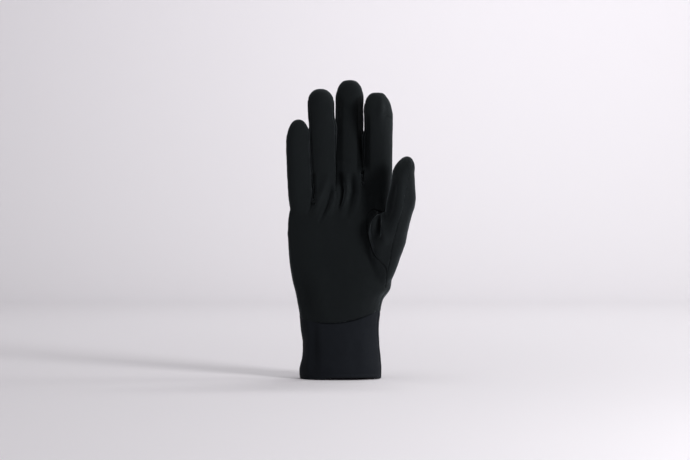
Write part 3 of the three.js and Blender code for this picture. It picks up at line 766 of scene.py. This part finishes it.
def fold_depth(x, z, folds):
    """How deep the folds press the cloth in at each place seen from the front."""
    total = np.zeros(len(x))
    for line in folds:
        best = np.full(len(x), np.inf)
        depth, width = np.zeros(len(x)), np.ones(len(x))
        for (x0, z0, d0, w0), (x1, z1, d1, w1) in zip(line, line[1:]):
            run_x, run_z = x1 - x0, z1 - z0
            along = np.clip(((x - x0) * run_x + (z - z0) * run_z) / (run_x**2 + run_z**2), 0, 1)
            away = np.hypot(x - x0 - along * run_x, z - z0 - along * run_z)
            nearer = away < best
            best = np.where(nearer, away, best)
            depth = np.where(nearer, d0 + (d1 - d0) * along, depth)
            width = np.where(nearer, w0 + (w1 - w0) * along, width)
        share = best / width
        lip = FOLD_LIP["share"] * np.exp(-((share - FOLD_LIP["away"]) ** 2) * FOLD_LIP["sharpness"])
        total += depth * (np.exp(-(share**2)) - lip * (depth > 0))
    return total


def rumple(points, size, seed):
    """Soft uneven swell of cloth, about -1 to 1, with lumps of the given size."""
    offset = Vector((seed * 17.3, seed * 5.1, seed * 9.7))
    return np.array([noise.noise(Vector(p) / size + offset) for p in points])


def nearest_seam(mesh):
    """For every vertex: how far the nearest seam is, and which row of SEAMS that one is."""
    kind = {frozenset(map(PIECES.index, row[:2])): number for number, row in enumerate(SEAMS[:-1])}
    piece = mesh.attributes["piece"].data
    side_of = {}
    for polygon in mesh.polygons:
        for key in polygon.edge_keys:
            side_of.setdefault(key, set()).add(piece[polygon.index].value)
    last = len(SEAMS) - 1
    lines = [(key, kind.get(frozenset(sides), last)) for key, sides in side_of.items() if len(sides) > 1]
    steps = 4
    tree = kdtree.KDTree(len(lines) * steps)
    for number, ((a, b), _) in enumerate(lines):
        start, end = mesh.vertices[a].co, mesh.vertices[b].co
        for step in range(steps):
            tree.insert(start.lerp(end, step / steps), number * steps + step)
    tree.balance()
    found = [tree.find(v.co)[1:] for v in mesh.vertices]
    row = [lines[place // steps][1] for place, _ in found]
    return np.array([away for _, away in found]), np.array(row)


def read_points(mesh, field="co"):
    values = np.empty(len(mesh.vertices) * 3)
    mesh.vertices.foreach_get(field, values)
    return values.reshape(-1, 3)


def write_points(mesh, points):
    mesh.vertices.foreach_set("co", points.ravel())
    mesh.update()


def worn_form(sizes):
    """The whole glove's outside in its worn form, cut along its seams, in millimetres."""
    bm = fused(flat_form(), sizes.grid / MM)
    whole = [*bm.verts, *bm.edges, *bm.faces]
    bmesh.ops.bisect_plane(
        bm, geom=whole, dist=HEM_SNAP, plane_co=(0, 0, 0), plane_no=(0, 0, -1), clear_outer=True
    )
    cut_seams(bm)
    label_faces(bm)
    mesh = mesh_of(bm, "glove form")
    flat = read_points(mesh)
    worn = drape(flat)
    write_points(mesh, worn)
    normal = read_points(mesh, "normal")
    x, z = worn[:, 0], worn[:, 2]
    flat_x, flat_y, flat_z = flat.T
    facing = -normal[:, 1]
    front, behind = smooth(facing, *FRONT_FACING), smooth(-facing, *FRONT_FACING)
    cuff = 1 - smooth(flat_z, CUFF_SEAM - CUFF_FADE, CUFF_SEAM)
    thumb = on_thumb(flat)
    root = smooth(thumb_measure(flat), *ROOT_FADE)
    inward = fold_depth(x, z, PALM_FOLDS) * front * (1 - cuff) * ~thumb
    inward += fold_depth(x, z, FINGER_FOLDS) * smooth(facing, *TIP_FACING) * ~thumb
    inward += fold_depth(x, z, THUMB_FOLDS) * front * np.maximum(thumb, root)
    inward += fold_depth(x, z, CUFF_FOLDS) * front * cuff
    inward += fold_depth(x, z, BACK_FOLDS) * behind * (1 - cuff)
    inward += sum(height * rumple(worn, size, seed) for height, size, seed in SWELL)
    away, kind = nearest_seam(mesh)
    deep, dark, in_from, in_to, out_from, out_to = np.array([row[2:] for row in SEAMS])[kind].T
    roll = np.exp(-((away / ROLL_WIDTH) ** 2)) * smooth(x, in_from, in_to)
    roll *= 1 - smooth(x, out_from, out_to)
    roll *= 1 - smooth(flat_z, *CROTCH_FADE) * root * (flat_y < THUMB_CROTCH["y"])
    roll *= smooth(np.abs(flat_z - web_at(flat_x)[0]), *WEB_FADE)
    # Painted shade: creases, seam grooves and finger shoulders get a darkness, by which the material mixes
    # in a dark matt cloth
    painted_shade = FOLD_DARKNESS * np.clip(inward - FOLD_DARK_FROM, 0, FOLD_DARK_OVER)
    painted_shade = np.maximum(painted_shade, dark * roll)
    inward += sizes.seam_depth / MM * deep * roll
    pucker = PUCKER["height"] * rumple(worn, PUCKER["size"], PUCKER["seed"])
    inward += pucker * np.exp(-((away / PUCKER["reach"]) ** 2)) * (1 - roll)
    worn -= normal * inward[:, None]
    finger = np.where(thumb, -1, finger_of(flat_x, flat_z))
    for number, edge, side, width, back, dark, start, end in SHOULDERS:
        here = smooth(z, *start) * (1 - smooth(z, *end)) * (finger == number)
        past = (x - edge) * side
        worn[:, 1] += back * here * smooth(past, 0.0, width) * smooth(facing, *SHOULDER_FACING)
        # painted shade along the fingers' fallen-back sides, where the neighbouring fingers' shadow falls
        shoulder_shade = smooth(past, *SHOULDER_DARK) * smooth(facing, *PAINTED_SHADE_FACING)
        painted_shade = np.maximum(painted_shade, dark * here * shoulder_shade)
    press_fingers(worn, flat)
    write_points(mesh, worn)
    # relief and the darkness are stored for the material's painted light and shade
    for name, values in (("relief", -inward), ("painted_shade", painted_shade)):
        mesh.attributes.new(name, "FLOAT", "POINT").data.foreach_set("value", values.astype(np.float32))
    return mesh


# Pieces


def piece_from_form(name, thickness, material):
    """One piece's own part of the form, drawn back a little from its seams and given its wall."""
    number = PIECES.index(name)
    bm = bmesh.new()
    bm.from_mesh(bpy.data.meshes["glove form"])
    label = bm.faces.layers.int["piece"]
    bmesh.ops.delete(bm, geom=[f for f in bm.faces if f[label] != number], context="FACES")
    if not bm.faces:
        raise RuntimeError(f"{name} has no faces")
    rims = [v for v in bm.verts if v.is_boundary]
    moves = []
    for v in rims:
        centres = [f.calc_center_median() for f in v.link_faces]
        moves.append((sum(centres, Vector()) / len(centres) - v.co).normalized() * PIECE_GAP)
    for v, move in zip(rims, moves):
        v.co += move
    bmesh.ops.scale(bm, vec=(MM, MM, MM), verts=bm.verts)
    made = placed(f"{name}_cloth", mesh_of(bm, name))
    made.data.materials.append(material)
    wall = made.modifiers.new("wall", "SOLIDIFY")
    wall.thickness = thickness
    wall.offset = -1.0
    wall.use_even_offset = False
    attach(made, "root")
    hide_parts(name)


# Materials


class Socket:
    """A shader value that Python's own operators work on."""

    def __init__(self, shader, link):
        self.shader, self.link = shader, link

    def maths(self, operation, *values):
        return self.shader.node("ShaderNodeMath", {"operation": operation}, values)

    def __add__(self, other):
        return self.maths("ADD", self, other)

    def __mul__(self, other):
        return self.maths("MULTIPLY", self, other)

    __radd__, __rmul__ = __add__, __mul__

    def sine(self):
        return self.maths("SINE", self)


class Shader:
    """A material's nodes."""

    def __init__(self, name):
        self.material = bpy.data.materials.new(name)
        self.material.use_nodes = True
        self.tree = self.material.node_tree
        self.tree.nodes.clear()

    def node(self, kind, settings=None, inputs=(), output=0):
        """Adds a node, its settings first, then the values or links of its sockets."""
        made = self.tree.nodes.new(kind)
        for key, value in (settings or {}).items():
            setattr(made, key, value)
        pairs = inputs.items() if isinstance(inputs, dict) else enumerate(inputs)
        for key, value in pairs:
            if isinstance(value, Socket):
                self.tree.links.new(value.link, made.inputs[key])
            else:
                made.inputs[key].default_value = value
        return Socket(self, made.outputs[output]) if len(made.outputs) else None

    def mix(self, share, first, second):
        """Two colours mixed by a share."""
        return self.node("ShaderNodeMix", {"data_type": "RGBA"}, {0: share, 6: first, 7: second}, 2)

    def matt(self, colour, roughness, specular):
        values = {"Base Color": colour, "Roughness": roughness, "Specular IOR Level": specular}
        return self.node("ShaderNodeBsdfPrincipled", inputs=values)

    def finish(self, surface):
        self.node("ShaderNodeOutputMaterial", inputs={"Surface": surface})
        return self.material


def shaded(colour, share):
    """A colour made darker or lighter, with its alpha."""
    return (*[value * share for value in colour], 1.0)


def knit_cloth(name, colour, pitch, finish):
    """Fine knit: rows of small stitches up the piece, a soft bloom, colour a little uneven at random,
    painted light on raised cloth and painted shade in hollows, creases, seams and between fingers.
    """
    shader = Shader(name)
    place = shader.node("ShaderNodeTexCoord", output="Object")
    parts = shader.node("ShaderNodeSeparateXYZ", inputs=[place]).link.node.outputs
    x, y, z = (Socket(shader, part) for part in parts)
    turn = 2 * math.pi / (pitch * finish["pitch"])
    knit = ((x + y) * turn).sine() * (z * (turn * ROWS_PER_WALE)).sine()
    mottle = shader.node("ShaderNodeTexNoise", inputs={"Vector": place, **MOTTLE})
    fuzz = shader.node("ShaderNodeTexNoise", inputs={"Vector": place, **FUZZ})
    relief = shader.node("ShaderNodeAttribute", {"attribute_name": "relief"}, output="Fac")
    # painted light and shade: cloth that stands up is coloured lighter, hollows darker
    painted_relief_light = relief * RELIEF_PAINTED_LIGHT + 0.5
    shade = painted_relief_light * SHADE["painted_relief_light"] + mottle * SHADE["mottle"] + fuzz * SHADE["fuzz"]
    dark, light = shaded(colour, DARKEST), shaded(colour, LIGHTEST)
    tint = shaded(colour, 1 / max(colour))
    bump = shader.node(
        "ShaderNodeBump", inputs={**BUMP, "Height": knit * KNIT_HEIGHT + fuzz * FUZZ_HEIGHT}
    )
    cloth = shader.node(
        "ShaderNodeBsdfPrincipled",
        inputs={
            "Base Color": shader.mix(shade, dark, light),
            "Roughness": mottle * ROUGHNESS_SPAN + (finish["roughness"] - ROUGHNESS_SPAN / 2),
            "Specular IOR Level": finish["specular"],
            "Sheen Weight": finish["sheen"],
            "Sheen Roughness": SHEEN_ROUGHNESS,
            "Sheen Tint": tint,
            "Specular Tint": tint,
            "Normal": bump,
        },
    )
    # painted shade: a dark matt copy of the cloth without specular, mixed in along creases, seam grooves
    # and finger shoulders
    painted_shade_cloth = shader.matt(dark, 1.0, 0.0)
    painted_shade = shader.node("ShaderNodeAttribute", {"attribute_name": "painted_shade"}, output="Fac")
    return shader.finish(shader.node("ShaderNodeMixShader", inputs=[painted_shade, cloth, painted_shade_cloth]))


# Sizes, operators and panel


def length(name, description, default, low, high):
    return FloatProperty(
        name=name, description=description, default=default, min=low, max=high,
        unit="LENGTH", precision=5,
    )


def paint(name, description, default):
    return FloatVectorProperty(name=name, description=description, subtype="COLOR", default=default)


class GloveSizes(bpy.types.PropertyGroup):
    """Sizes that a maker would change."""

    hand_wall: length("Hand cloth", "Thickness of one layer of softshell", 0.0014, 0.0005, 0.003)
    cuff_wall: length("Cuff cloth", "Thickness of the cuff, folded double", 0.002, 0.0005, 0.004)
    seam_depth: length("Seam depth", "How deep the cloth rolls in at a seam", 0.0009, 0.0, 0.002)
    grid: length("Grid", "Size of the faces that the cloth is modelled in", 0.0009, 0.0006, 0.003)
    knit_pitch: length("Knit pitch", "Distance between two wales of stitches", 0.0009, 0.0004, 0.003)


class GloveColours(bpy.types.PropertyGroup):
    """Colours of the cloths and the stage."""

    softshell: paint("Softshell", "Cloth of the hand", (0.0035, 0.0041, 0.0044))
    jersey: paint("Jersey", "Cloth of the cuff", (0.0045, 0.0051, 0.0063))
    floor: paint("Floor", "Floor and backdrop", (0.8, 0.775, 0.81))


class GLOVE_OT_form(bpy.types.Operator):
    """Shapes the whole glove's outside and cuts it along its seams"""

    bl_idname = "glove.form"
    bl_label = "Shape the form"

    def execute(self, context):
        mesh = worn_form(context.scene.glove_sizes)
        if not mesh.polygons:
            raise RuntimeError("the form has no faces")
        return {"FINISHED"}


class GLOVE_OT_hand(bpy.types.Operator):
    """Makes the panels of the hand, the thumb's front and the strips between the fingers"""

    bl_idname = "glove.hand"
    bl_label = "Hand pieces"

    def execute(self, context):
        sizes, colours = context.scene.glove_sizes, context.scene.glove_colours
        cloth = knit_cloth("softshell knit", colours.softshell, sizes.knit_pitch, SOFTSHELL)
        for name in PIECES:
            if name not in CUFF_PIECES:
                piece_from_form(name, sizes.hand_wall, cloth)
        return {"FINISHED"}


class GLOVE_OT_cuff(bpy.types.Operator):
    """Makes the two halves of the cuff"""

    bl_idname = "glove.cuff"
    bl_label = "Cuff"

    def execute(self, context):
        sizes, colours = context.scene.glove_sizes, context.scene.glove_colours
        cloth = knit_cloth("cuff jersey", colours.jersey, sizes.knit_pitch, JERSEY)
        for name in CUFF_PIECES:
            piece_from_form(name, sizes.cuff_wall, cloth)
        return {"FINISHED"}


def backdrop(material):
    """A floor that sweeps up into a wall."""
    bm = bmesh.new()
    edge = FLOOR["middle"] + FLOOR["half"]
    bmesh.ops.create_grid(bm, x_segments=1, y_segments=1, size=FLOOR["half"])
    bmesh.ops.translate(bm, vec=(0, FLOOR["middle"], -FLOOR["below"]), verts=bm.verts)
    back = [e for e in bm.edges if all(v.co.y > 0 for v in e.verts)]
    centre = (0, edge, BEND["radius"] - FLOOR["below"])
    quarter = math.radians(90)
    bmesh.ops.spin(bm, geom=back, cent=centre, axis=(1, 0, 0), angle=quarter, steps=BEND["steps"])
    high = edge + BEND["radius"] - BEND["last"]
    top = [e for e in bm.edges if all(v.co.y > high for v in e.verts)]
    risen = bmesh.ops.extrude_edge_only(bm, edges=top)["geom"]
    risen = [g for g in risen if isinstance(g, bmesh.types.BMVert)]
    bmesh.ops.translate(bm, vec=(0, 0, WALL_HEIGHT), verts=risen)
    bmesh.ops.recalc_face_normals(bm, faces=bm.faces)
    made = placed("backdrop", mesh_of(bm, "backdrop"))
    made.data.materials.append(material)


def lamp(name, place, aim, width, height, power):
    """A soft rectangular light that faces a point."""
    data = bpy.data.lights.new(name, "AREA")
    data.shape = "RECTANGLE"
    data.size, data.size_y = width, height
    data.energy = power
    made = placed(name, data)
    made.location = place
    made.rotation_euler = (Vector(aim) - Vector(place)).to_track_quat("-Z", "Y").to_euler()


class GLOVE_OT_stage(bpy.types.Operator):
    """Sets the floor, the lights and the camera"""

    bl_idname = "glove.stage"
    bl_label = "Stage"

    def execute(self, context):
        scene = context.scene
        shader = Shader("pale floor")
        surface = shader.matt((*scene.glove_colours.floor, 1.0), FLOOR["roughness"], FLOOR["specular"])
        backdrop(shader.finish(surface))
        scene.world = bpy.data.worlds.new("studio")
        scene.world.use_nodes = True
        for key, value in WORLD.items():
            scene.world.node_tree.nodes["Background"].inputs[key].default_value = value
        for row in LAMPS:
            lamp(*row)
        data = bpy.data.cameras.new("camera")
        data.lens, data.sensor_width = CAMERA["lens"], CAMERA["sensor"]
        data.clip_start, data.clip_end = CAMERA["clip"]
        scene.camera = placed("camera", data)
        scene.camera.location = CAMERA["place"]
        scene.camera.rotation_euler = (math.radians(90), 0, 0)
        scene.view_settings.view_transform = "Standard"
        return {"FINISHED"}


class GLOVE_PT_panel(bpy.types.Panel):
    """Lists the glove's sizes and its makers' steps"""

    bl_label = "Softshell glove"
    bl_space_type = "VIEW_3D"
    bl_region_type = "UI"
    bl_category = "Glove"

    def draw(self, context):
        for group in (context.scene.glove_sizes, context.scene.glove_colours):
            for name in group.__annotations__:
                self.layout.prop(group, name)
        for step in STEPS:
            self.layout.operator(step.bl_idname)


STEPS = (GLOVE_OT_form, GLOVE_OT_hand, GLOVE_OT_cuff, GLOVE_OT_stage)
CLASSES = (GloveSizes, GloveColours, *STEPS, GLOVE_PT_panel)


def register():
    for each in CLASSES:
        bpy.utils.register_class(each)
    bpy.types.Scene.glove_sizes = PointerProperty(type=GloveSizes)
    bpy.types.Scene.glove_colours = PointerProperty(type=GloveColours)


def unregister():
    del bpy.types.Scene.glove_sizes
    del bpy.types.Scene.glove_colours
    for each in reversed(CLASSES):
        bpy.utils.unregister_class(each)


def main():
    register()
    bpy.ops.glove.form()
    bpy.ops.glove.hand()
    bpy.ops.glove.cuff()
    bpy.ops.glove.stage()
    bpy.data.meshes.remove(bpy.data.meshes["glove form"])


if __name__ == "__main__":
    main()
